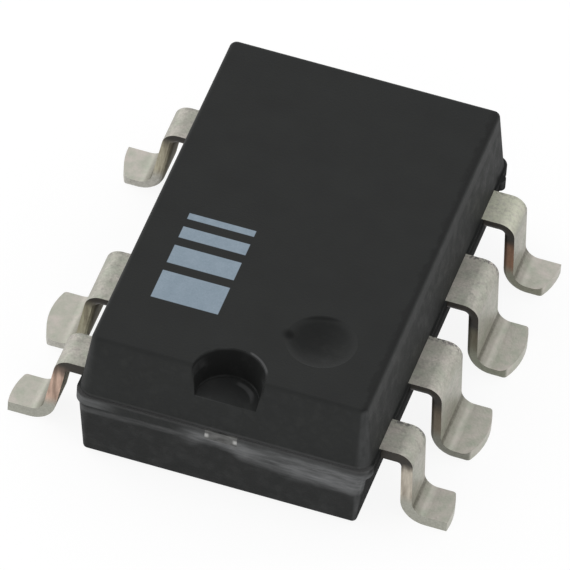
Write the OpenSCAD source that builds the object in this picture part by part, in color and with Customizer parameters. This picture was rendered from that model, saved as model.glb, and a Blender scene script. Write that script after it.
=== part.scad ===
// Surface-mount power chip in a seven-lead gull-wing package.
// The leads stand on the XY plane. The origin is under the middle of the body,
// +Y points away from the notched end and leads 1 to 4 are on the +X side.
// All sizes are in millimetres.

/* [Moulded body] */
// Width of the body at its parting plane, without flash
body_w = 6.35; // [5.2:0.05:8]
// Length of the body at its parting plane, without flash
body_l = 9.7; // [9.2:0.05:12]
// Height of the body from its underside to its top face
body_t = 3.35; // [2.9:0.05:4.2]
// Height of the parting plane, level with the top of the leads, above the underside of the body
parting_h = 1.8; // [1.45:0.025:2.2]
// Gap between the underside of the body and the board
standoff = 0.1; // [0.05:0.01:0.4]
// Draft of the side and end faces above the parting plane, in degrees
draft_top = 7; // [3:0.5:12]
// Draft of the side and end faces below the parting plane, in degrees
draft_low = 6; // [3:0.5:12]
// Radius of the upright corners at the top face
corner_top_r = 0.15; // [0.1:0.01:0.5]
// Radius of the upright corners at the underside
corner_low_r = 0.1; // [0.1:0.01:0.5]
// Radius of the top and bottom rims, where the corners leave room for it
rim_r = 0.09; // [0.04:0.01:0.14]
// How far the lower half sits off the upper half, towards leads 5 to 8
slip = 0.04; // [0:0.01:0.08]

/* [Marks moulded into the body] */
// Radius of the half-round index notch at the top face
notch_r = 0.78; // [0.5:0.01:1.1]
// Radius of the index notch at its floor
notch_floor_r = 0.67; // [0.4:0.01:1]
// Depth of the index notch
notch_d = 0.76; // [0.3:0.01:1]
// Diameter of the round dimple beside lead 1
dimple_d = 1.5; // [0.8:0.05:2]
// Depth of the dimple
dimple_depth = 0.13; // [0.05:0.01:0.3]
// Distance of the dimple's centre from the side of the body
dimple_from_side = 1.675; // [1.4:0.025:2.2]
// Distance of the dimple's centre from the notched end
dimple_from_end = 1.78; // [1.6:0.02:2.4]
// Diameter of the two ejector marks under the body
ejector_d = 1.6; // [0.8:0.1:2.2]
// Depth of the ejector marks
ejector_depth = 0.06; // [0.03:0.01:0.15]
// Distance of each ejector mark from the middle of the body
ejector_y = 2.9; // [2:0.1:3.2]

/* [Mould flash] */
// How far the flash stands out along both sides, between the leads
flash_side = 0.05; // [0.02:0.01:0.1]
// How far the flash stands out at both ends
flash_end = 0.04; // [0.02:0.01:0.1]
// Radius of the corners of the flash
flash_corner_r = 0.3; // [0.2:0.01:0.5]
// Radius of the flash nub beside lead 4
nub_r = 0.13; // [0.08:0.01:0.2]
// How far the nub stands out past the side flash
nub_out = 0.09; // [0.04:0.01:0.12]
// Distance of the nub from the far end of the body
nub_from_end = 0.6; // [0.55:0.01:0.75]

/* [Leads outside the body] */
// Distance from lead to lead along a row
pitch = 2.54; // [2.1:0.01:2.75]
// Shift of both rows from the middle of the body towards the notched end
row_shift = 0.12; // [0:0.01:0.2]
// Thickness of the lead frame
lead_t = 0.25; // [0.2:0.01:0.3]
// Width of a full lead
lead_w = 1.45; // [1.2:0.01:1.75]
// Width of the end leads, whose outer side is cut away
end_lead_w = 0.9; // [0.7:0.01:1.1]
// Distance from the side of the body to the outer face of a lead's drop
shoulder = 0.74; // [0.6:0.01:1.2]
// How far both rows of drops and feet sit off the middle of the body, towards leads 1 to 4
row_offset = 0.015; // [0:0.005:0.05]
// Outer radius of the bend between shoulder and drop
bend_r = 0.35; // [0.32:0.01:0.5]
// Lean of the drops of leads 1 to 4 away from the body, in degrees
lean_right = 2.5; // [0:0.5:12]
// Lean of the drops of leads 5 to 8 away from the body, in degrees
lean_left = 9; // [0:0.5:12]
// Inner radius of the bend between drop and foot
heel_r = 0.32; // [0.1:0.01:0.45]
// Length of the flat foot from its bend to the tip
foot = 0.49; // [0.4:0.01:1]
// How far the middle of a tip stands out past its corners
tip_crown = 0.17; // [0.05:0.01:0.25]
// How far the cut of the tips is out of square, in degrees
tip_skew = 4; // [0:0.5:6]
// Radius of a tip's corner on the side of the notched end
tip_near_r = 0.22; // [0.05:0.01:0.3]
// Radius of a tip's corner on the other side
tip_far_r = 0.08; // [0.05:0.01:0.3]
// Radius of the rolled lower edges that punching leaves on the leads
roll_r = 0.14; // [0.05:0.01:0.18]

/* [Lead frame inside the body] */
// Distance from the side of the body to the die paddle
paddle_in = 1.575; // [1.5:0.025:1.7]
// Length of the die paddle, from end to end
paddle_l = 4.4; // [4.2:0.05:4.6]
// Drop from the plane of the leads to the paddle
downset = 0.26; // [0.15:0.01:0.4]
// Length of the slopes between the leads and the paddle
slope_l = 0.3; // [0.2:0.01:0.35]
// Clear gap between the bond fingers and the rest of the frame
finger_gap = 0.32; // [0.25:0.01:0.36]
// Width of the tie bars that reach the ends of the body
tie_w = 0.7; // [0.4:0.01:0.8]
// Width of the arms that join leads 2 and 3 to the paddle
arm_w = 1.1; // [0.8:0.05:1.15]
// Distance of the web that joins leads 7 and 8 from the side of the body
web_in = 0.16; // [0.1:0.01:0.18]
// Diameter of the holes that lock the leads into the moulding
lock_d = 0.46; // [0.3:0.02:0.5]
// Distance of the lock holes from the side of the body
lock_in = 0.55; // [0.45:0.01:0.65]

/* [Die and wires] */
// Distance from the sides of the paddle to the silicon die
die_side_in = 0.55; // [0.5:0.01:0.7]
// Distance from the ends of the paddle to the silicon die
die_end_in = 0.75; // [0.4:0.01:1]
// Thickness of the silicon die
die_t = 0.28; // [0.2:0.01:0.35]
// Thickness of the die attach layer
attach_t = 0.03; // [0.02:0.005:0.05]
// Width of the die attach that shows round the die
attach_rim = 0.06; // [0.03:0.01:0.1]
// Diameter of a bond wire
wire_d = 0.05; // [0.04:0.005:0.075]
// Height of a wire's loop above the die
loop_h = 0.24; // [0.15:0.01:0.4]
// Diameter of the flattened wire ends
bond_d = 0.13; // [0.1:0.01:0.16]
// Thickness of the flattened wire ends
bond_t = 0.03; // [0.02:0.005:0.04]
// Distance of the bond pads from the edges of the die
pad_in = 0.28; // [0.2:0.01:0.35]
// Distance of a wire's end from the edge of its finger
bond_in = 0.28; // [0.2:0.01:0.4]
// Spread of the pair of wires to lead 5
pair_gap = 0.3; // [0.2:0.01:0.32]

/* [Hidden] */

$fn = 64;
wire_fn = 24;
eps = 0.01;                                   // overshoot of cutting solids
rim_steps = 4;                                // facets across a rim's rounding
roll_steps = 4;                               // facets across a rolled edge
arc_step = 6;                                 // degrees between the points of an outline's arcs
corner_turn = 84;                             // degrees that a tip's corner turns before it meets the side
outline_margin = 0.1;                         // reach of a lead's outline past its sides

side_x = body_w / 2;
end_y = body_l / 2;
parting_z = standoff + parting_h;
top_z = standoff + body_t;
lead_top = parting_z;                         // the leads lie in the lower half, up to the parting plane
lead_low = lead_top - lead_t;
top_h = body_t - parting_h;

bend_z = lead_top - bend_r;                   // axis of the upper bend
heel_z = lead_t + heel_r;                     // axis of the heel bend
tip_r = (pow(lead_w / 2, 2) + pow(tip_crown, 2)) / (2 * tip_crown);

paddle_x = side_x - paddle_in;
paddle_y = paddle_l / 2;
paddle_top = lead_top - downset;
slope_x = paddle_x + slope_l;                 // outer end of the side slopes
finger_x = tie_w / 2 + finger_gap;            // nearest that a finger comes to the middle
finger_y = paddle_y + finger_gap;
lock_x = side_x - lock_in;
tab_x = lock_x - lock_d;                      // inner end of the full-width leads

die_x = paddle_x - die_side_in;
die_y = paddle_y - die_end_in;
die_low = paddle_top + attach_t;
die_top = die_low + die_t;

// Leads are counted anticlockwise from the dimple: 1 to 4 on +X, 5 to 8 on -X
function lead_side(n) = n <= 4 ? 1 : -1;
function lead_y(n) = ((n <= 4 ? n : 9 - n) - 2.5) * pitch - row_shift;
function near_end(n) = n == 1 || n == 8;
function far_end(n) = n == 4 || n == 5;
// Lower and upper edge of a lead along Y; an end lead keeps its inner side only
function lead_lo(n) = near_end(n) ? lead_hi(n) - end_lead_w : lead_y(n) - lead_w / 2;
function lead_hi(n) = far_end(n) ? lead_lo(n) + end_lead_w : lead_y(n) + lead_w / 2;

// A lead's way from the outer face of its drop, at the top, to its tip
function drop_x(n) = side_x + shoulder + lead_side(n) * row_offset;
function lean(n) = n <= 4 ? lean_right : lean_left;
function bend_x(n) = rounded(drop_x(n) - bend_r * cos(lean(n)));
function drop_len(n) = rounded((bend_z - heel_z + (bend_r + heel_r) * sin(lean(n))) / cos(lean(n)));
function heel_x(n) = bend_x(n) + drop_len(n) * sin(lean(n)) + (bend_r + heel_r) * cos(lean(n));
function tip_x(n) = heel_x(n) + foot;

// Sizes that two neighbouring surfaces share are kept to 0.0001 mm, so that they meet without a step
function rounded(v) = round(v * 10000) / 10000;

// Points of an arc about c, from angle a to angle b
function arc(c, r, a, b) =
    let (steps = max(2, ceil(abs(b - a) / arc_step)))
    [for (i = [0 : steps]) c + r * [cos(a + (b - a) * i / steps), sin(a + (b - a) * i / steps)]];

// Points without the first and the last
function inner(points) = [for (i = [1 : len(points) - 2]) points[i]];

function mirrored(points) =
    concat(points, [for (i = [len(points) - 1 : -1 : 0]) [-points[i][0], points[i][1]]]);

// ---- moulded body ----

// Half section of a mould half of height h, out to reach: a drafted wall with a rounded rim
function wall_section(h, draft, rim, reach) =
    let (rim_x = reach - rounded((rim + (h - rim) * sin(draft)) / cos(draft)))
    concat([[0, 0], [reach, 0]],
           [for (i = [0 : rim_steps])
               let (a = draft + (90 - draft) * i / rim_steps)
               [rim_x + rounded(rim * cos(a)), h - rim + rounded(rim * sin(a))]],
           [[0, h]]);

// One mould half, standing on the parting plane; its conical corners, whose radius at the
// far face is end_r, meet the walls face to face
module mould_half(h, draft, end_r) {
    rim = min(rim_r, end_r);
    corner_r = rounded(end_r + h * tan(draft));
    core_x = side_x - corner_r;
    core_y = end_y - corner_r;
    rotate([90, 0, 0]) linear_extrude(2 * core_y, center = true)
        polygon(mirrored(wall_section(h, draft, rim, side_x)));
    for (s = [0, 1]) mirror([0, s, 0]) {
        translate([0, core_y, 0]) rotate([90, 0, 90]) linear_extrude(2 * core_x, center = true)
            polygon(wall_section(h, draft, rim, corner_r));
        for (t = [0, 1]) mirror([t, 0, 0])
            translate([core_x, core_y, 0]) rotate_extrude(angle = 90)
                polygon(wall_section(h, draft, rim, corner_r));
    }
}

// Resin squeezed out between the mould halves, as thick as the lead frame
module flash() {
    x = side_x + flash_side;
    y = end_y + flash_end;
    quarter = arc([x - flash_corner_r, y - flash_corner_r], flash_corner_r, 0, 90);
    half = mirrored(quarter);
    translate([0, 0, lead_low]) linear_extrude(lead_t) {
        polygon(concat(half, [for (i = [len(half) - 1 : -1 : 0]) [half[i][0], -half[i][1]]]));
        translate([x + nub_out - nub_r, end_y - nub_from_end]) circle(nub_r);
    }
}

module index_notch() {
    top_inset = top_h * tan(draft_top);
    translate([0, top_inset - end_y, top_z - notch_d])
        cylinder(h = notch_d + eps, r1 = notch_floor_r,
                 r2 = notch_r + (notch_r - notch_floor_r) * eps / notch_d);
}

module dimple() {
    ball_r = (pow(dimple_d / 2, 2) + pow(dimple_depth, 2)) / (2 * dimple_depth);
    translate([side_x - dimple_from_side, dimple_from_end - end_y, top_z - dimple_depth + ball_r])
        sphere(ball_r);
}

module ejector_marks() {
    for (s = [-1, 1])
        translate([-slip, s * ejector_y, standoff - eps]) cylinder(h = ejector_depth + eps, d = ejector_d);
}

module moulded_body() {
    color("#323433") difference() {
        union() {
            translate([0, 0, parting_z]) mould_half(top_h, draft_top, corner_top_r);
            translate([-slip, 0, parting_z]) mirror([0, 0, 1])
                mould_half(parting_h, draft_low, corner_low_r);
            flash();
        }
        index_notch();
        dimple();
        ejector_marks();
        lead_frame_in_body();
        silicon_die();
        die_attach();
        for (w = WIRES) bond_wire(w);
    }
}

// ---- leads ----

// Section of a lead, as [distance from the bend axis, place along Y from the lead's middle]. Its under
// side is at r_in, or at r_in + lead_t where the strip bends the other way. Punched edges are rolled,
// trimmed ones square.
function strip_section(n, r_in, under_outside) =
    let (lo = lead_lo(n) - lead_y(n), hi = lead_hi(n) - lead_y(n),
         low_edge = near_end(n) ? [[0, lo]] : roll_arc(lo + roll_r, 270, 180),
         high_edge = far_end(n) ? [[0, hi]] : roll_arc(hi - roll_r, 180, 90),
         points = concat([[lead_t, lo]], low_edge, high_edge, [[lead_t, hi]]))
    [for (p = points) [r_in + (under_outside ? lead_t - p[0] : p[0]), p[1]]];

function roll_arc(y, a, b) =
    [for (i = [0 : roll_steps])
        let (t = a + (b - a) * i / roll_steps)
        [rounded(roll_r * (1 + cos(t))), y + rounded(roll_r * sin(t))]];

// Bend of a strip about an axis along Y, from angle a to angle b in the XZ plane
module strip_bend(a, b) {
    rotate([90, 0, 0]) rotate([0, 0, a]) mirror([0, 0, 1]) rotate_extrude(angle = b - a) children();
}

// Gull-wing strip on the +X side from x_in outwards: shoulder and bend, then in the leaning
// frame of the drop the drop itself, the heel and a foot long enough to cut its crown from
module gull_wing(n, x_in) {
    over = strip_section(n, bend_r - lead_t, false);
    under = strip_section(n, heel_r, true);
    translate([bend_x(n), 0, bend_z]) {
        rotate([0, -90, 0]) linear_extrude(bend_x(n) - x_in) polygon(over);
        strip_bend(lean(n), 90) polygon(over);
        rotate([0, -lean(n), 0]) {
            mirror([0, 0, 1]) linear_extrude(drop_len(n)) polygon(over);
            translate([bend_r + heel_r, 0, -drop_len(n)]) {
                strip_bend(180, 270 - lean(n)) polygon(under);
                rotate([0, 90 + lean(n), 0]) linear_extrude(foot + tip_crown) polygon(under);
            }
        }
    }
}

// Outline of an untrimmed lead about its middle, with a margin beside it up to its round corners
function crown_outline(n) =
    let (c = [tip_x(n) - tip_r * cos(tip_skew), tip_r * sin(tip_skew)],
         near = tip_corner(c, -1, tip_near_r),
         far = tip_corner(c, 1, tip_far_r),
         rim = concat(arc(near, tip_near_r, -corner_turn, bearing(near - c)),
                      inner(arc(c, tip_r, bearing(near - c), bearing(far - c))),
                      arc(far, tip_far_r, bearing(far - c), corner_turn)),
         side = lead_w / 2 + outline_margin)
    concat([[0, -side], [rim[0][0], -side]], rim, [[rim[len(rim) - 1][0], side], [0, side]]);

// Centre of the rounded corner of radius r between side s of a lead and the crown about c
function tip_corner(c, s, r) =
    let (y = s * (lead_w / 2 - r))
    [c[0] + sqrt(pow(tip_r - r, 2) - pow(y - c[1], 2)), y];

function bearing(v) = atan2(v[1], v[0]);

// The part of a lead from x_in to its tip, on its own side of the body
module outer_lead(n, x_in) {
    mirror([lead_side(n) < 0 ? 1 : 0, 0, 0]) translate([0, lead_y(n), 0]) intersection() {
        gull_wing(n, x_in);
        translate([0, 0, -eps]) linear_extrude(top_z) polygon(crown_outline(n));
    }
}

module lock_hole(x, y) {
    translate([x, y, lead_low - eps]) cylinder(h = lead_t + 2 * eps, d = lock_d);
}

// A lead with a bond finger, whose head reaches from the lead towards the paddle
module finger_lead(n) {
    s = lead_side(n);
    e = near_end(n) ? -1 : 1;                 // end of the body that the finger lies at
    y_out = e < 0 ? lead_lo(n) : lead_hi(n);
    head_w = paddle_x - finger_x;
    color("#b4b3aa") difference() {
        union() {
            outer_lead(n, finger_x);
            translate([s > 0 ? finger_x : -paddle_x, min(y_out, e * finger_y), lead_low])
                cube([head_w, abs(y_out - e * finger_y), lead_t]);
        }
        lock_hole(s * lock_x, (lead_lo(n) + lead_hi(n)) / 2);
    }
}

// Slope that drops from the plane of the leads to the paddle: it runs along +X from the
// paddle's edge at x, and is w wide from y on
module slope(x, y, w) {
    translate([0, y + w, 0]) rotate([90, 0, 0]) linear_extrude(w)
        polygon([[x + slope_l, lead_top], [x, paddle_top],
                 [x, paddle_top - lead_t], [x + slope_l, lead_low]]);
}

module paddle_leads_2_3_7_8() {
    web_w = lead_hi(7) - lead_lo(8);
    tie_end = end_y + flash_end;
    color("#b4b3aa") difference() {
        union() {
            translate([-paddle_x, -paddle_y, paddle_top - lead_t]) cube([2 * paddle_x, paddle_l, lead_t]);
            for (n = [2, 3]) {
                outer_lead(n, tab_x);
                translate([slope_x, lead_y(n) - arm_w / 2, lead_low]) cube([tab_x - slope_x, arm_w, lead_t]);
                slope(paddle_x, lead_y(n) - arm_w / 2, arm_w);
            }
            outer_lead(7, tab_x);
            outer_lead(8, tab_x);
            translate([web_in - side_x, lead_lo(8), lead_low])
                cube([side_x - web_in - slope_x, web_w, lead_t]);
            mirror([1, 0, 0]) slope(paddle_x, -paddle_y, paddle_y + lead_hi(7));
            for (s = [-1, 1]) rotate([0, 0, s * 90]) {
                slope(paddle_y, -tie_w / 2, tie_w);
                translate([paddle_y + slope_l, -tie_w / 2, lead_low])
                    cube([tie_end - paddle_y - slope_l, tie_w, lead_t]);
            }
        }
        for (n = [2, 3]) lock_hole(lock_x, lead_y(n));
        lock_hole(-lock_x, (lead_lo(7) + lead_hi(8)) / 2);
    }
}

module lead_1() { finger_lead(1); }
module lead_4() { finger_lead(4); }
module lead_5() { finger_lead(5); }

module lead_frame_in_body() {
    paddle_leads_2_3_7_8();
    lead_1();
    lead_4();
    lead_5();
}

// ---- die and wires ----

module silicon_die() {
    color("#6d7484") translate([-die_x, -die_y, die_low]) cube([2 * die_x, 2 * die_y, die_t]);
}

module die_attach() {
    color("#8d8f92") translate([0, 0, paddle_top + attach_t / 2])
        cube([2 * (die_x + attach_rim), 2 * (die_y + attach_rim), attach_t], center = true);
}

// Each wire runs from a place on the die to a place on a metal face, whose height comes last
pad_x = die_x - pad_in;
pad_y = die_y - pad_in;
head_x = (finger_x + paddle_x) / 2;
head_y = finger_y + bond_in;
ledge_x = (die_x + attach_rim + paddle_x) / 2;
ledge_y = die_y / 3;
WIRES = [
    [[pad_x, -pad_y], [head_x, -head_y], lead_top],
    [[pad_x, pad_y], [head_x, head_y], lead_top],
    [[-pad_x, pad_y], [-head_x - pair_gap / 2, head_y], lead_top],
    [[pair_gap - pad_x, pad_y], [pair_gap / 2 - head_x, head_y], lead_top],
    [[-pad_x, -ledge_y], [-ledge_x, -ledge_y], paddle_top],
    [[-pad_x, ledge_y], [-ledge_x, ledge_y], paddle_top],
];
crest_at = 0.35;                              // where along its run a wire is highest
neck_at = 0.8;                                // height of its first bend, as a share of the loop
bend_swell = 1.06;                            // the bends are a hair thicker than the lengths they join

module rod(a, b) {
    v = b - a;
    translate(a) rotate([0, acos(v[2] / norm(v)), atan2(v[1], v[0])])
        cylinder(h = norm(v), d = wire_d, $fn = wire_fn);
}

module wire_bend(at) {
    translate(at) sphere(d = wire_d * bend_swell, $fn = wire_fn);
}

// Bonded at both ends: straight up from the die, over the loop and down to the metal
module bond_wire(w) {
    from = w[0];
    to = w[1];
    high = from + (to - from) * crest_at;
    root = [from[0], from[1], die_top + bond_t / 2];
    neck = [from[0], from[1], die_top + loop_h * neck_at];
    crest = [high[0], high[1], die_top + loop_h];
    stitch = [to[0], to[1], w[2] + bond_t];
    color("#d9b14a") {
        translate([from[0], from[1], die_top]) cylinder(h = bond_t, d = bond_d, $fn = wire_fn);
        rod(root, neck);
        wire_bend(neck);
        rod(neck, crest);
        wire_bend(crest);
        rod(crest, stitch);
        wire_bend(stitch);
        translate([to[0], to[1], w[2]]) cylinder(h = bond_t, d = bond_d, $fn = wire_fn);
    }
}

moulded_body();
paddle_leads_2_3_7_8();
lead_1();
lead_4();
lead_5();
silicon_die();
die_attach();
bond_wire(WIRES[0]);  // bond_wire_lead_1
bond_wire(WIRES[1]);  // bond_wire_lead_4
bond_wire(WIRES[2]);  // bond_wire_lead_5a
bond_wire(WIRES[3]);  // bond_wire_lead_5b
bond_wire(WIRES[4]);  // bond_wire_paddle_a
bond_wire(WIRES[5]);  // bond_wire_paddle_b
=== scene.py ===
import math

import bpy
from mathutils import Matrix, Vector


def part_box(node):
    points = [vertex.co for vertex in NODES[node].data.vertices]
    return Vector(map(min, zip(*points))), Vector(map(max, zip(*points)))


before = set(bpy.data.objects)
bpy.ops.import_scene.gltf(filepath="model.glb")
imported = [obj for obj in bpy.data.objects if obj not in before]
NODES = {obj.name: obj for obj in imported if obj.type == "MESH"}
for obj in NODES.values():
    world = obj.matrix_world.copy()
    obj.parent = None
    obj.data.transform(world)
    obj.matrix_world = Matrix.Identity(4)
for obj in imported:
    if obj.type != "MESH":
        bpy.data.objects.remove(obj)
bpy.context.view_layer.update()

MM = 0.001


def box_in_mm(name):
    """The low and the high corner of a node's box."""
    low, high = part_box(name)
    return low / MM, high / MM


# ---- the body's places in millimetres, read from the frame ----
BODY_LOW, BODY_HIGH = box_in_mm("moulded_body")
LEAD_1_LOW, LEAD_1_HIGH = box_in_mm("lead_1")
TOP_Z = BODY_HIGH.z
NEAR_Y = BODY_LOW.y              # the notched end
END_REACH = BODY_HIGH.y          # how far both ends lie from the middle
LEAD_TOP = LEAD_1_HIGH.z         # the parting plane: the top of the leads and of the flash

# ---- leads: both rows have their leads opposite each other ----
LEAD_THICK = 0.25
FLASH_LOW = LEAD_TOP - LEAD_THICK    # the flash is as deep as the leads are thick
PITCH = 2.54
LEAD_HALF = 0.725                # half the width of a lead
END_LEAD_CUT = 0.175             # how far an end lead reaches on its cut-away side
FIRST_LEAD_Y = LEAD_1_LOW.y + END_LEAD_CUT
ROW_START = FIRST_LEAD_Y - PITCH / 2
LAST_LEAD_Y = ROW_START + 3 * PITCH  # where the last lead's share of a row starts
RIGHT_ROW = (1, 2, 3, 4)         # from the notched end on
LEFT_ROW = (8, 7, 6, 5)
BEND_LOW = LEAD_TOP - 0.35       # where the upper bends end and the drops start
HEEL_HIGH = LEAD_THICK + 0.32    # where the drops end and the heels start

OUTER_BEND_X = 3.5               # from the middle to the outer part of the upper bends
TIE_BAR_HALF = 0.35              # half the width of a tie bar's end
TOP_EDGE_X = 2.96                # from the middle to the rounded right edge of the top

# ---- marks moulded into the top ----
NOTCH_Y = NEAR_Y + 0.23          # the notch's axis, close to the near edge of the top face
NOTCH_R = 0.78
NOTCH_FLOOR_R = 0.67
NOTCH_FLOOR_Z = TOP_Z - 0.76
DIMPLE_X, DIMPLE_Y = 1.5, NEAR_Y + 1.82
DIMPLE_R = 0.75


# ---- node helpers ----

def new_material(name):
    """An empty material and its node tree."""
    mat = bpy.data.materials.new(name)
    mat.use_nodes = True
    mat.node_tree.nodes.clear()
    return mat, mat.node_tree


def put(tree, socket, value):
    """Sets a socket, or links it if the value is another socket."""
    if isinstance(value, bpy.types.NodeSocket):
        tree.links.new(value, socket)
    else:
        socket.default_value = value


def add(tree, kind, **values):
    """A node of this kind. p_NAME is a property of the node, in_0 its first input, and so on;
    any other name is an input's own, with _ for each space."""
    node = tree.nodes.new(kind)
    sockets = {}
    for key, value in values.items():
        if key.startswith("p_"):
            setattr(node, key[2:], value)
        else:
            sockets[key] = value
    for key, value in sockets.items():
        name = int(key[3:]) if key.startswith("in_") else key.replace("_", " ")
        put(tree, node.inputs[name], value)
    return node


def maths(tree, operation, *values, clamp=False):
    node = add(tree, "ShaderNodeMath", p_operation=operation, p_use_clamp=clamp)
    for place, value in enumerate(values):
        put(tree, node.inputs[place], value)
    return node.outputs[0]


def plus(tree, first, *others):
    """The sum of all the values."""
    for value in others:
        first = maths(tree, "ADD", first, value)
    return first


def times(tree, first, *others):
    """The product of all the values."""
    for value in others:
        first = maths(tree, "MULTIPLY", first, value)
    return first


def most(tree, first, *others):
    """The largest of the values."""
    for value in others:
        first = maths(tree, "MAXIMUM", first, value)
    return first


def minus(tree, value, less):
    return maths(tree, "SUBTRACT", value, less)


def unsigned(tree, value):
    return maths(tree, "ABSOLUTE", value)


def sloped(tree, value, slope, start):
    """A straight line: start where the value is 0, changing by slope for each unit of it."""
    return maths(tree, "MULTIPLY_ADD", value, slope, start)


def ramp(tree, value, low, high, start=0.0, end=1.0, form="SMOOTHSTEP"):
    """Start up to low, end from high on, and a step of this form between them."""
    node = add(tree, "ShaderNodeMapRange", p_interpolation_type=form)
    for place, number in enumerate((value, low, high, start, end)):
        put(tree, node.inputs[place], number)
    return node.outputs[0]


def fade(tree, value, low, high, start=1.0):
    """Start up to low, falling to 0 at high."""
    return ramp(tree, value, low, high, start, 0.0)


def by_row(tree, x, left, right):
    """One value on the left row's side and another on the right row's side."""
    return ramp(tree, x, -1.0, 1.0, left, right)


def mix(tree, share, first, second):
    """The first colour with this share of the second; inputs 6 and 7 are the node's two colours."""
    node = add(tree, "ShaderNodeMix", p_data_type="RGBA")
    put(tree, node.inputs[0], share)
    put(tree, node.inputs[6], first)
    put(tree, node.inputs[7], second)
    return node.outputs[2]


def mix_number(tree, share, first, second):
    """The first number with this share of the second; inputs 2 and 3 are the node's two numbers."""
    node = add(tree, "ShaderNodeMix", p_data_type="FLOAT")
    put(tree, node.inputs[0], share)
    put(tree, node.inputs[2], first)
    put(tree, node.inputs[3], second)
    return node.outputs[0]


def distance(tree, x, y, centre_x, centre_y):
    """How far the point (x, y) is from the centre."""
    across = minus(tree, x, centre_x)
    along = minus(tree, y, centre_y)
    return maths(tree, "SQRT", maths(tree, "MULTIPLY_ADD", across, across, times(tree, along, along)))


def place_in_mm(tree):
    """Object coordinates in millimetres: the vector, then x, y and z."""
    place = add(tree, "ShaderNodeTexCoord").outputs["Object"]
    vector = add(tree, "ShaderNodeVectorMath", p_operation="SCALE", in_0=place, Scale=1 / MM).outputs[0]
    parts = add(tree, "ShaderNodeSeparateXYZ", in_0=vector).outputs
    return vector, parts[0], parts[1], parts[2]


def facing(tree):
    """How much the surface faces along X, Y and Z, each from -1 to 1."""
    normal = add(tree, "ShaderNodeTexCoord").outputs["Normal"]
    parts = add(tree, "ShaderNodeSeparateXYZ", in_0=normal).outputs
    return parts[0], parts[1], parts[2]


def srgb(red, green, blue):
    """A colour given as 0 to 255 screen values, turned into the linear ones that a socket takes."""
    def linear(level):
        level /= 255
        return level / 12.92 if level <= 0.04045 else ((level + 0.055) / 1.055) ** 2.4
    return (linear(red), linear(green), linear(blue), 1.0)


def finish_material(tree, **values):
    """Closes a material with its shader and output."""
    shader = add(tree, "ShaderNodeBsdfPrincipled", **values)
    out = add(tree, "ShaderNodeOutputMaterial")
    tree.links.new(shader.outputs[0], out.inputs[0])


# ---- effects that several finishes share, each a node group ----

def new_group(name, inputs, outputs):
    """A node group with these named sockets; a default of three numbers makes a vector socket."""
    tree = bpy.data.node_groups.new(name, "ShaderNodeTree")
    for label, default in inputs.items():
        kind = "NodeSocketVector" if isinstance(default, tuple) else "NodeSocketFloat"
        tree.interface.new_socket(label, in_out="INPUT", socket_type=kind).default_value = default
    for label, kind in outputs.items():
        tree.interface.new_socket(label, in_out="OUTPUT", socket_type=kind)
    return tree, add(tree, "NodeGroupInput").outputs, add(tree, "NodeGroupOutput").inputs


def grain_group():
    """Cloudy grain, Size across and drawn out by Stretch, from 0 to 1 with its middle at a half."""
    tree, given, made = new_group(
        "grain", {"Place": (0.0, 0.0, 0.0), "Size": 0.1, "Stretch": (1.0, 1.0, 1.0), "Contrast": 1.0},
        {"Value": "NodeSocketFloat"})
    drawn = add(tree, "ShaderNodeVectorMath", p_operation="DIVIDE", in_0=given["Place"],
                in_1=given["Stretch"]).outputs[0]
    scale = maths(tree, "DIVIDE", 1.0, given["Size"])
    cloud = add(tree, "ShaderNodeTexNoise", Vector=drawn, Scale=scale, Detail=3.0, Roughness=0.55).outputs[0]
    value = minus(tree, cloud, 0.5)
    put(tree, made["Value"], maths(tree, "MULTIPLY_ADD", value, given["Contrast"], 0.5, clamp=True))
    return tree


def soft_band_group():
    """1 between Low and High, falling to 0 over Soft on either side."""
    tree, given, made = new_group(
        "soft_band", {"Value": 0.0, "Low": 0.0, "High": 1.0, "Soft": 0.05}, {"Mask": "NodeSocketFloat"})
    value, low, high, soft = given["Value"], given["Low"], given["High"], given["Soft"]
    rise = ramp(tree, value, minus(tree, low, soft), low)
    fall = fade(tree, value, high, plus(tree, high, soft))
    put(tree, made["Mask"], times(tree, rise, fall))
    return tree


def fine_bump_group():
    """A normal roughened by fine grain, Depth being its height in millimetres."""
    tree, given, made = new_group(
        "fine_bump", {"Place": (0.0, 0.0, 0.0), "Size": 0.04, "Depth": 0.004},
        {"Normal": "NodeSocketVector"})
    height = grain(tree, given["Place"], given["Size"])
    depth = times(tree, given["Depth"], MM)
    bump = add(tree, "ShaderNodeBump", Height=height, Distance=depth, Strength=1.0)
    put(tree, made["Normal"], bump.outputs[0])
    return tree


def place_group(tree, group, **values):
    return add(tree, "ShaderNodeGroup", p_node_tree=group, **values).outputs[0]


def grain(tree, place, size, stretch=(1.0, 1.0, 1.0), contrast=1.0):
    return place_group(tree, GRAIN, Place=place, Size=size, Stretch=stretch, Contrast=contrast)


def band(tree, value, low, high, soft):
    return place_group(tree, SOFT_BAND, Value=value, Low=low, High=high, Soft=soft)


def fine_bump(tree, place, size, depth):
    return place_group(tree, FINE_BUMP, Place=place, Size=size, Depth=depth)


GRAIN = grain_group()
SOFT_BAND = soft_band_group()
FINE_BUMP = fine_bump_group()


# ---- moulded epoxy ----

MARK_LEFT, MARK_RIGHT = -2.2, -0.75
MARK_NEAR = -3.1
MARK_BARS = (0.8, 0.52, 0.32, 0.16)    # how deep each bar is, from the near one to the far one
MARK_GAP = 0.25
INK_EDGE = 0.015                       # how soft the ink's edges are
INK_DULL, INK_PALE = srgb(140, 157, 171), srgb(154, 170, 184)

RESIN_DARK, RESIN_PALE = srgb(26, 27, 27), srgb(38, 40, 39)
WALL_BLOTCH = srgb(52, 53, 52)
# painted shade that darkens the body's lower half
LOWER_HALF_SHADE = srgb(14, 15, 15)
DEEP_SHADE = srgb(4, 4, 4)
# painted light for the flash step of the notched end
FLASH_STEP_LIGHT = srgb(72, 72, 72)
# the scuffs' pale colour, also used for painted highlights
SCUFF_AND_HIGHLIGHT_PALE = srgb(122, 123, 124)

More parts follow.
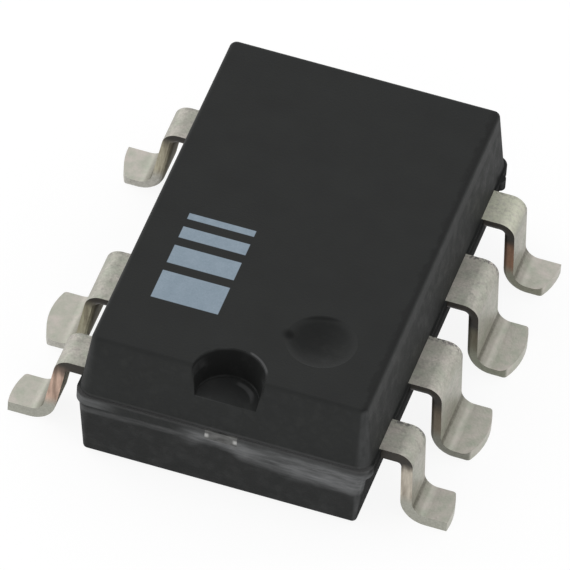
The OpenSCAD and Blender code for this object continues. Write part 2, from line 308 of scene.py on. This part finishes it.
# Along the notched end, from its middle
SCUFF_START, SCUFF_PEAK = -1.1, 2.2            # the wide rub's left end, and the peak of its right part
HIGH_STREAK_END, LOW_STREAK_END = -2.1, 0.0    # the right ends of the two streaks


def barred_mark(tree, x, y, z):
    """Mask of the printed mark: four bars across, each thinner than the one before it."""
    bars = []
    low = MARK_NEAR
    for depth in MARK_BARS:
        bars.append(band(tree, y, low, low + depth, INK_EDGE))
        low += depth + MARK_GAP
    across = band(tree, x, MARK_LEFT, MARK_RIGHT, INK_EDGE)
    return times(tree, most(tree, *bars), across, ramp(tree, z, TOP_Z - 0.02, TOP_Z - 0.01))


def wide_scuff(tree, patchy, x, z):
    """Mask of the wide rub below the parting plane. It starts left of the tie bar, is strong at the
    bar, and gets deeper to the right."""
    ragged = times(tree, minus(tree, patchy, 0.5), 0.16)
    under_tie_bar = fade(tree, unsigned(tree, plus(tree, x, 0.1)), 0.2, 0.65, 0.18)
    low_edge = plus(tree, sloped(tree, x, -0.075, LEAD_TOP - 0.66), ragged, under_tie_bar)
    above_edge = ramp(tree, minus(tree, z, low_edge), -0.16, 0.16)
    up_the_flash = ramp(tree, z, LEAD_TOP - 0.22, LEAD_TOP - 0.02, 1.0, 0.15)
    below_wall = fade(tree, z, LEAD_TOP + 0.04, LEAD_TOP + 0.08)
    on_right = times(tree, ramp(tree, x, SCUFF_START, SCUFF_START + 0.6),
                     ramp(tree, unsigned(tree, minus(tree, x, SCUFF_PEAK)), 0.0, 1.4, 0.72, 0.55))
    at_tie_bar = ramp(tree, unsigned(tree, x), TIE_BAR_HALF, TIE_BAR_HALF + 0.4, 1.45, 1.0)
    return times(tree, above_edge, up_the_flash, below_wall, on_right, at_tie_bar)


def end_scuffs(tree, place, x, y, z):
    """Mask of the rubs on the notched end: the wide one, and two streaks on its left."""
    scratches = grain(tree, place, 0.07, stretch=(7.0, 1.0, 1.0), contrast=3.0)
    patchy = grain(tree, place, 0.35, stretch=(2.0, 1.0, 1.0), contrast=2.2)
    high_streak = times(tree, band(tree, z, LEAD_TOP - 0.26, LEAD_TOP - 0.08, 0.08),
                        fade(tree, x, HIGH_STREAK_END - 0.8, HIGH_STREAK_END, 0.5))
    from_low_streak = unsigned(tree, minus(tree, z, sloped(tree, x, 0.03, LEAD_TOP - 0.38)))
    low_streak = times(tree, fade(tree, from_low_streak, 0.03, 0.13),
                       fade(tree, x, LOW_STREAK_END - 0.6, LOW_STREAK_END, 0.27))
    worn = plus(tree, times(tree, scratches, 0.5), sloped(tree, patchy, 0.6, 0.28))
    at_near_end = fade(tree, y, NEAR_Y + 0.25, NEAR_Y + 0.35)
    scuffs = most(tree, wide_scuff(tree, patchy, x, z), high_streak, low_streak)
    return times(tree, scuffs, worn, at_near_end)


def row_walls(tree):
    """Mask of the two walls that the leads come out of."""
    return ramp(tree, unsigned(tree, facing(tree)[0]), 0.75, 0.95)


def rim_highlight(tree, blotch, z):
    """Mask of the faint painted highlight just under the top's edge, along both rows."""
    return times(tree, row_walls(tree), band(tree, z, TOP_Z - 0.3, TOP_Z - 0.14, 0.08), blotch, 0.16)


def pale_corners(tree, place, x, hollow):
    """Mask of paler streaks on the rounded upright corners, stronger on the right and never inside a hollow.
    """
    face_x, face_y = facing(tree)[:2]
    turned = unsigned(tree, times(tree, face_x, face_y))
    patchy = grain(tree, place, 0.2, stretch=(1.0, 1.0, 3.0), contrast=1.5)
    return times(tree, ramp(tree, turned, 0.1, 0.45), patchy, minus(tree, 1.0, hollow),
                 by_row(tree, x, 0.08, 0.3))


def notch_shade(tree, x, y, z):
    """Mask of painted shade inside the index notch, fading out on its floor near the open end."""
    radius = distance(tree, x, y, 0.0, NOTCH_Y)
    inside = times(tree, fade(tree, radius, NOTCH_R - 0.02, NOTCH_R + 0.03),
                   band(tree, z, NOTCH_FLOOR_Z - 0.01, TOP_Z - 0.08, 0.08),
                   ramp(tree, y, NOTCH_Y - 0.06, NOTCH_Y + 0.02))
    wall = ramp(tree, z, NOTCH_FLOOR_Z + 0.02, NOTCH_FLOOR_Z + 0.08)
    slanted_y = sloped(tree, x, -0.25, y)
    floor_shade = times(tree, ramp(tree, slanted_y, NOTCH_Y, NOTCH_Y + 0.45, 0.0, 0.3),
                        ramp(tree, x, -0.6, -0.2))
    return times(tree, inside, most(tree, wall, floor_shade))


def notch_glints(tree, x, y, z):
    """Mask of painted highlights in the notch: an arc on its rim, one on its floor, and painted light on the
    floor's left.
    """
    radius = distance(tree, x, y, 0.0, NOTCH_Y)
    rim_arc = times(tree, band(tree, radius, NOTCH_R, NOTCH_R + 0.035, 0.02),
                    ramp(tree, z, TOP_Z - 0.02, TOP_Z - 0.005), band(tree, x, 0.28, 0.7, 0.08),
                    ramp(tree, y, NOTCH_Y + 0.2, NOTCH_Y + 0.4, 0.0, 0.3))
    floor_arc = times(tree, band(tree, radius, NOTCH_FLOOR_R - 0.15, NOTCH_FLOOR_R - 0.1, 0.06),
                      fade(tree, z, NOTCH_FLOOR_Z + 0.03, NOTCH_FLOOR_Z + 0.05),
                      band(tree, x, 0.14, 0.42, 0.16), ramp(tree, y, NOTCH_Y, NOTCH_Y + 0.2, 0.0, 0.25))
    lit_floor = times(tree, band(tree, z, NOTCH_FLOOR_Z - 0.01, NOTCH_FLOOR_Z + 0.03, 0.01),
                       fade(tree, radius, NOTCH_FLOOR_R - 0.04, NOTCH_FLOOR_R),
                       ramp(tree, x, -0.4, 0.4, 0.08, 0.02))
    return most(tree, rim_arc, floor_arc, lit_floor)


def dimple_shade(tree, x, y, z):
    """Mask of painted shade in the dimple's bowl, darkest on its far left, with a pit of painted shade on
    the left of its rim and a line of painted shade along its far side."""
    across, along = minus(tree, x, DIMPLE_X), minus(tree, y, DIMPLE_Y)
    radius = distance(tree, across, along, 0.0, 0.0)
    slanted_x = sloped(tree, along, -0.5, across)
    bowl = times(tree, fade(tree, radius, DIMPLE_R - 0.2, DIMPLE_R),
                 ramp(tree, slanted_x, -0.335, 0.665, 1.0, 0.15),
                 ramp(tree, along, -0.55, -0.1, 0.1, 0.5))
    pit = fade(tree, distance(tree, across, along, -0.68, -0.03), 0.02, 0.22, 0.9)
    slanted_y = sloped(tree, across, -0.3, along)
    far_line = times(tree, band(tree, radius, DIMPLE_R - 0.1, DIMPLE_R - 0.05, 0.05),
                     ramp(tree, slanted_y, 0.57, 0.72, 0.0, 0.7))
    return times(tree, most(tree, bowl, pit, far_line), ramp(tree, z, TOP_Z - 0.2, TOP_Z - 0.15))


def epoxy_material():
    mat, tree = new_material("matt_epoxy")
    place, x, y, z = place_in_mm(tree)
    fine = grain(tree, place, 0.035, contrast=1.6)
    broad = grain(tree, place, 0.9, contrast=1.3)
    blotch = grain(tree, place, 0.3, contrast=2.0)

    # the resin, with paler blotches on the walls and painted shade that darkens its lower half
    resin = mix(tree, mix_number(tree, 0.6, fine, broad), RESIN_DARK, RESIN_PALE)
    wall = fade(tree, z, TOP_Z - 0.1, TOP_Z)
    resin = mix(tree, times(tree, wall, ramp(tree, blotch, 0.5, 1.0, 0.0, 0.5)), resin, WALL_BLOTCH)
    resin = mix(tree, fade(tree, z, FLASH_LOW - 0.2, FLASH_LOW, 0.5), resin, LOWER_HALF_SHADE)

    # the dark places: painted shade in the hollows and on the sides from the flash down, and an uneven dark
    # line inside the top's right edge
    hollow = most(tree, notch_shade(tree, x, y, z), dimple_shade(tree, x, y, z))
    right_edge = times(tree, ramp(tree, sloped(tree, blotch, 0.16, x), TOP_EDGE_X - 0.1, TOP_EDGE_X),
                       ramp(tree, z, TOP_Z - 0.05, TOP_Z - 0.01, 0.0, 0.5))
    low_sides = times(tree, row_walls(tree), fade(tree, z, LEAD_TOP - 0.04, LEAD_TOP))
    low_shade = times(tree, low_sides, ramp(tree, z, FLASH_LOW - 0.9, FLASH_LOW, 0.3, 0.9))
    resin = mix(tree, most(tree, times(tree, hollow, 0.6), right_edge, low_shade), resin, DEEP_SHADE)

    # the pale places: painted light on the flash step of the notched end, the wear scuffs, painted
    # highlights on the top's rim and in the notch, and paler upright corners
    # painted light that lifts the shadow of the flash step on the notched end, most on its upward faces
    mostly_on_top = ramp(tree, facing(tree)[2], 0.5, 0.9, 0.4, 1.0)
    lit_flash_step = times(tree, band(tree, z, LEAD_TOP - 0.03, LEAD_TOP + 0.05, 0.05),
                      fade(tree, y, NEAR_Y + 0.2, NEAR_Y + 0.3), mostly_on_top)
    resin = mix(tree, lit_flash_step, resin, FLASH_STEP_LIGHT)
    scuffs_and_highlights = most(tree, end_scuffs(tree, place, x, y, z), pale_corners(tree, place, x, hollow),
                  rim_highlight(tree, blotch, z), notch_glints(tree, x, y, z))
    resin = mix(tree, scuffs_and_highlights, resin, SCUFF_AND_HIGHLIGHT_PALE)

    # the ink, a little worn through
    ink = mix(tree, mix_number(tree, 0.7, fine, blotch), INK_DULL, INK_PALE)
    printed = times(tree, barred_mark(tree, x, y, z), sloped(tree, fine, 0.14, 0.84))
    colour = mix(tree, printed, resin, ink)

    rough = plus(tree, sloped(tree, fine, 0.16, 0.44), times(tree, blotch, wall, 0.26))
    rough = mix_number(tree, most(tree, low_sides, hollow), rough, 1.0)
    finish_material(tree, Base_Color=colour, Roughness=rough, Normal=fine_bump(tree, place, 0.05, 0.004),
                    Specular_IOR_Level=0.24)
    return mat


# ---- tin plate over copper ----

TIN_COOL, TIN_WARM = srgb(196, 200, 185), srgb(221, 214, 206)
TIN_SPECKS, TIN_CLOUDS, TIN_BLOTS = srgb(150, 150, 142), srgb(158, 156, 146), srgb(140, 134, 132)
TIN_PALE = srgb(228, 230, 208)
# painted shade inside the heels and along their creases
HEEL_SHADE, HEEL_CREASE_SHADE = srgb(124, 122, 110), srgb(84, 80, 70)
BURR_DARK = srgb(92, 88, 92)
# painted shade for upright faces, and darker for those that face the body
UPRIGHT_SHADE, INNER_SHADE = srgb(120, 118, 106), srgb(118, 108, 84)
COPPER_DARK, GRIME = srgb(84, 70, 56), srgb(110, 108, 96)
# near-black painted shade on the cut sides of the upper bends, in two tones
BEND_SHADE_BLACK, BEND_SHADE_BROWN = srgb(20, 17, 11), srgb(52, 45, 33)
SMEAR_DARK, SMEAR_PALE = srgb(58, 58, 57), srgb(104, 104, 102)
BRIGHT_CUT = srgb(206, 206, 204)
TIE_SPECK_X = 0.3                      # from the middle to the bright speck at each edge of a tie bar

# The bared side of each drop and of each foot
DROP_STAINS = {
    1: srgb(204, 196, 182), 2: srgb(118, 110, 96), 3: srgb(112, 112, 96), 4: srgb(138, 104, 82),
    5: srgb(188, 182, 160), 7: srgb(178, 174, 150), 8: srgb(214, 184, 166),
}
FOOT_STAINS = {
    1: srgb(172, 172, 162), 2: srgb(126, 126, 117), 3: srgb(128, 130, 116), 4: srgb(126, 126, 112),
    5: srgb(182, 180, 172), 7: srgb(190, 188, 180), 8: srgb(174, 174, 164),
}
# How far down the painted near-black shade of the upper bends reaches, as a share of the lead's height
SHADE_REACH = {1: 0.82, 2: 0.73, 3: 0.67, 4: 0.74, 5: 0.87, 7: 0.86, 8: 0.81}
NO_LEAD = (0.5, 0.5, 0.5, 1.0)         # stands in for position 6, which has no lead


def by_lead(tree, x, y, values):
    """Picks each lead's own colour from values, by its row and its place along the row."""
    along = ramp(tree, y, ROW_START, ROW_START + len(RIGHT_ROW) * PITCH, form="LINEAR")
    rows = []
    for row in (RIGHT_ROW, LEFT_ROW):
        pick = add(tree, "ShaderNodeValToRGB", in_0=along)
        stops = pick.color_ramp
        stops.interpolation = "CONSTANT"
        while len(stops.elements) < len(row):
            stops.elements.new(1.0)
        for order, lead in enumerate(row):
            stops.elements[order].position = order / len(row)
            stops.elements[order].color = values.get(lead, NO_LEAD)
        rows.append(pick.outputs[0])
    right, left = rows
    return mix(tree, maths(tree, "GREATER_THAN", x, 0.0), left, right)


def clouded_tin(tree, place, fine, patch, z):
    """The tin's colour: soft patches under darker clouds, which fade out on the feet."""
    above_feet = ramp(tree, z, LEAD_THICK + 0.02, LEAD_THICK + 0.12, 0.15, 1.0)
    clouds = grain(tree, place, 0.6, contrast=3.0)
    blots = ramp(tree, grain(tree, place, 0.13, contrast=2.6), 0.55, 0.95)
    tin = mix(tree, patch, TIN_COOL, TIN_WARM)
    tin = mix(tree, times(tree, fine, above_feet, 0.4), tin, TIN_SPECKS)
    tin = mix(tree, times(tree, clouds, above_feet, 0.4), tin, TIN_CLOUDS)
    return mix(tree, times(tree, blots, above_feet, 0.3), tin, TIN_BLOTS)


def shaded_heel(tree, tin, fine, z):
    """The tin with painted shade inside the heel, and a line of painted shade in the crease where the heel
    starts to turn.
    """
    face_z = facing(tree)[2]
    inner = ramp(tree, face_z, 0.15, 0.4)
    hollow = times(tree, band(tree, z, LEAD_THICK + 0.06, HEEL_HIGH - 0.1, 0.12), inner,
                   fade(tree, face_z, 0.85, 0.99, 0.5))
    tin = mix(tree, hollow, tin, HEEL_SHADE)
    crease = times(tree, band(tree, z, LEAD_THICK + 0.15, LEAD_THICK + 0.19, 0.05), inner,
                   sloped(tree, fine, 0.6, 0.5), 0.7)
    return mix(tree, crease, tin, HEEL_CREASE_SHADE)


def far_edge_burr(tree, place, x, y, z):
    """Mask of the speckled burr along the far edge of the upper bends."""
    from_row_start = minus(tree, y, ROW_START)
    from_middle = minus(tree, maths(tree, "FLOORED_MODULO", from_row_start, PITCH), PITCH / 2)
    last_lead = maths(tree, "GREATER_THAN", y, LAST_LEAD_Y)
    far_edge = mix_number(tree, last_lead, LEAD_HALF, END_LEAD_CUT)
    at_edge = fade(tree, minus(tree, far_edge, from_middle), 0.04, 0.14)
    speckle = ramp(tree, grain(tree, place, 0.06, contrast=2.0), 0.42, 0.62)
    return times(tree, at_edge, ramp(tree, z, BEND_LOW - 0.1, BEND_LOW), speckle, by_row(tree, x, 0.3, 0.75))


def pale_shoulder(tree, streak, x, y, z):
    """Mask of the paler shoulder of lead 4, the last one of the right row."""
    last_lead = maths(tree, "GREATER_THAN", y, LAST_LEAD_Y)
    return times(tree, last_lead, ramp(tree, x, 0.0, 1.0), ramp(tree, z, BEND_LOW, LEAD_TOP - 0.1),
                 ramp(tree, streak, 0.3, 0.9, 0.62, 0.3))


def bend_side_shade(tree, patch, x, y, z):
    """Mask of near-black painted shade on the cut side of the upper bends, down to each lead's own height.
    On the left row its low outer part, which is lit, is weaker."""
    height = maths(tree, "DIVIDE", z, LEAD_TOP)
    reach = by_lead(tree, x, y, {lead: (share, share, share, 1.0) for lead, share in SHADE_REACH.items()})
    wobble = times(tree, minus(tree, patch, 0.5), 0.06)
    dark = ramp(tree, plus(tree, minus(tree, height, reach), wobble), -0.1, 0.05)
    lit_outside = times(tree, fade(tree, height, 0.85, 0.95, 0.35),
                        ramp(tree, unsigned(tree, x), OUTER_BEND_X, OUTER_BEND_X + 0.35),
                        by_row(tree, x, 1.0, 0.0))
    return times(tree, dark, minus(tree, 1.0, lit_outside))


def bare_side(tree, fine, streak, dark, x, y, z):
    """The colour of the cut sides, where the copper is bare and stained, under painted shade on the upper
    bends.
    """
    drop = mix(tree, times(tree, streak, 0.6), by_lead(tree, x, y, DROP_STAINS), COPPER_DARK)
    foot = mix(tree, times(tree, fine, 0.3), by_lead(tree, x, y, FOOT_STAINS), GRIME)
    bare = mix(tree, ramp(tree, z, HEEL_HIGH - 0.12, HEEL_HIGH + 0.23), foot, drop)
    return mix(tree, dark, bare, mix(tree, fine, BEND_SHADE_BLACK, BEND_SHADE_BROWN))


def tie_bar_end(tree, place, x, z):
    """The colour of a tie bar's cut end: smeared with resin but for a bright speck at each edge."""
    speck = times(tree, band(tree, unsigned(tree, x), TIE_SPECK_X, TIE_SPECK_X + 0.03, 0.06),
                  band(tree, z, LEAD_TOP - 0.16, LEAD_TOP - 0.13, 0.07), 0.6)
    smears = grain(tree, place, 0.12, stretch=(2.5, 1.0, 1.0), contrast=3.0)
    return mix(tree, speck, mix(tree, smears, SMEAR_DARK, SMEAR_PALE), BRIGHT_CUT)


def tin_material():
    mat, tree = new_material("matt_tin")
    place, x, y, z = place_in_mm(tree)
    face_x, face_y = facing(tree)[:2]
    fine = grain(tree, place, 0.05, contrast=2.2)
    patch = grain(tree, place, 0.28, contrast=2.6)
    streak = grain(tree, place, 0.09, stretch=(1.0, 1.0, 7.0), contrast=2.6)

    tin = clouded_tin(tree, place, fine, patch, z)
    tin = shaded_heel(tree, tin, fine, z)
    tin = mix(tree, far_edge_burr(tree, place, x, y, z), tin, BURR_DARK)
    tin = mix(tree, pale_shoulder(tree, streak, x, y, z), tin, TIN_PALE)

    # painted shade on the upright faces, and more on those that face the body, where its shadow falls
    outward = times(tree, face_x, maths(tree, "SIGN", x))
    tin = mix(tree, ramp(tree, outward, 0.5, 0.95, 0.0, 0.3), tin, UPRIGHT_SHADE)
    inward = fade(tree, outward, -0.8, -0.3)
    tin = mix(tree, times(tree, inward, sloped(tree, patch, 0.3, 0.52)), tin, INNER_SHADE)

    # the cut sides of the leads, and the tie bars' ends
    cut = ramp(tree, unsigned(tree, face_y), 0.35, 0.7)
    dark = bend_side_shade(tree, patch, x, y, z)
    colour = mix(tree, cut, tin, bare_side(tree, fine, streak, dark, x, y, z))
    outside = ramp(tree, unsigned(tree, y), END_REACH - 0.1, END_REACH - 0.08)
    colour = mix(tree, outside, colour, tie_bar_end(tree, place, x, z))

    metal = times(tree, sloped(tree, times(tree, cut, dark), -0.55, 0.75), sloped(tree, outside, -0.8, 1.0))
    rough = mix_number(tree, inward, sloped(tree, fine, 0.2, 0.38), 0.9)
    finish_material(tree, Base_Color=colour, Metallic=metal, Roughness=rough,
                    Normal=fine_bump(tree, place, 0.06, 0.005))
    return mat


# ---- hidden pieces ----

def plain_grain_material(name, dark, light, size, metallic, roughness):
    """Finish of a piece inside the body: two close shades in grains of this size."""
    mat, tree = new_material(name)
    place = place_in_mm(tree)[0]
    fine = grain(tree, place, size)
    finish_material(tree, Base_Color=mix(tree, fine, dark, light), Metallic=metallic,
                    Roughness=sloped(tree, fine, 0.15, roughness),
                    Normal=fine_bump(tree, place, size, 0.001))
    return mat


EPOXY = epoxy_material()
TIN = tin_material()
SILICON = plain_grain_material("silicon", srgb(92, 98, 112), srgb(116, 122, 138),
                               size=0.2, metallic=0.6, roughness=0.25)
DIE_ATTACH = plain_grain_material("die_attach", srgb(128, 130, 134), srgb(150, 152, 156),
                                  size=0.04, metallic=0.3, roughness=0.5)
WIRE = plain_grain_material("wire", srgb(205, 160, 70), srgb(226, 184, 96),
                            size=0.02, metallic=1.0, roughness=0.25)
OWN_FINISHES = {"moulded_body": EPOXY, "silicon_die": SILICON, "die_attach": DIE_ATTACH}


def finish_of(name):
    """Wires are gold; the body, die and attach layer have their own finish; all else is tin."""
    if name.startswith("bond_wire"):
        return WIRE
    return OWN_FINISHES.get(name, TIN)


for name, piece in NODES.items():
    for holder in piece.material_slots:
        holder.material = finish_of(name)

# ---- floor ----

WHITE = (1.0, 1.0, 1.0, 1.0)
PAPER = (0.97, 0.97, 0.97, 1.0)
FLOOR_SIZE = 600 * MM
GLOW_STRENGTH = 1.04
GLOW_NEAR, GLOW_FAR = 15.0, 60.0    # millimetres from the part where the paper turns to plain white
GLOW_SHARE = 0.86                   # the glow's share near the part; the rest is paper that takes its shadow


def paper_material():
    """Pale paper that the camera sees as white, with the part's soft shadow near the middle."""
    mat, tree = new_material("pale_floor")
    rays = add(tree, "ShaderNodeLightPath").outputs
    seen = most(tree, rays["Is Camera Ray"], rays["Is Glossy Ray"], rays["Is Transmission Ray"])
    x, y = place_in_mm(tree)[1:3]
    share = ramp(tree, distance(tree, x, y, 0.0, 0.0), GLOW_NEAR, GLOW_FAR, GLOW_SHARE, 1.0)
    paper = add(tree, "ShaderNodeBsdfDiffuse", Color=PAPER).outputs[0]
    glow = add(tree, "ShaderNodeEmission", Color=WHITE, Strength=GLOW_STRENGTH).outputs[0]
    look = add(tree, "ShaderNodeMixShader", in_0=times(tree, seen, share), in_1=paper, in_2=glow).outputs[0]
    out = add(tree, "ShaderNodeOutputMaterial")
    tree.links.new(look, out.inputs[0])
    return mat


bpy.ops.object.select_all(action="DESELECT")
bpy.ops.mesh.primitive_plane_add(size=FLOOR_SIZE, location=(0, 0, 0))
floor = bpy.context.object
floor.name = "floor"
floor.data.materials.append(paper_material())


# ---- light ----

ROOM_LIGHT, CEILING_LIGHT = 1.0, 0.6


def white_room():
    """A room that is white all round and dimmer overhead."""
    world = bpy.data.worlds.new("studio")
    bpy.context.scene.world = world
    world.use_nodes = True
    tree = world.node_tree
    tree.nodes.clear()
    direction = add(tree, "ShaderNodeTexCoord").outputs["Generated"]
    upward = add(tree, "ShaderNodeSeparateXYZ", in_0=direction).outputs[2]
    strength = ramp(tree, upward, 0.2, 1.0, ROOM_LIGHT, CEILING_LIGHT)
    sky = add(tree, "ShaderNodeBackground", Color=WHITE, Strength=strength)
    out = add(tree, "ShaderNodeOutputWorld")
    tree.links.new(sky.outputs[0], out.inputs[0])


def softbox(name, place, size, power):
    """A square lamp aimed at the middle of the part."""
    data = bpy.data.lights.new(name, "AREA")
    data.shape = "SQUARE"
    data.size = size
    data.energy = power
    lamp = bpy.data.objects.new(name, data)
    bpy.context.scene.collection.objects.link(lamp)
    aim = Vector((0, 0, 2 * MM))
    lamp.location = place
    lamp.rotation_euler = (aim - Vector(place)).to_track_quat("-Z", "Y").to_euler()


white_room()
softbox("key_left", place=(-120 * MM, 20 * MM, 120 * MM), size=90 * MM, power=0.045)
bpy.context.scene.view_settings.view_transform = "Standard"

# ---- camera ----

AZIMUTH, ELEVATION, ROLL = math.radians(14.788), math.radians(46.034), math.radians(4.551)
AIM = Vector((0, -0.15 * MM, 1.8 * MM))
AWAY = 239.35 * MM
SENSOR_WIDTH = 36
FOCAL_LENGTH = 723.3
SHIFT_RIGHT, SHIFT_UP = -0.0121, -0.0039    # how far the view is slid, as a share of its width


def aimed_camera():
    """A long lens at the viewing angle, rolled a little about its axis."""
    level = math.cos(ELEVATION)
    back = Vector((math.sin(AZIMUTH) * level, -math.cos(AZIMUTH) * level, math.sin(ELEVATION)))
    right = Vector((math.cos(AZIMUTH), math.sin(AZIMUTH), 0))
    up = back.cross(right)
    side = right * math.cos(ROLL) + up * math.sin(ROLL)
    head = up * math.cos(ROLL) - right * math.sin(ROLL)
    lens = bpy.data.cameras.new("camera")
    lens.sensor_width = SENSOR_WIDTH
    lens.lens = FOCAL_LENGTH
    lens.shift_x, lens.shift_y = SHIFT_RIGHT, SHIFT_UP
    lens.clip_start, lens.clip_end = 10 * MM, 2000 * MM
    camera = bpy.data.objects.new("camera", lens)
    bpy.context.scene.collection.objects.link(camera)
    turn = Matrix((side, head, back)).transposed().to_4x4()
    camera.matrix_world = Matrix.Translation(AIM + back * AWAY) @ turn
    return camera


bpy.context.scene.camera = aimed_camera()
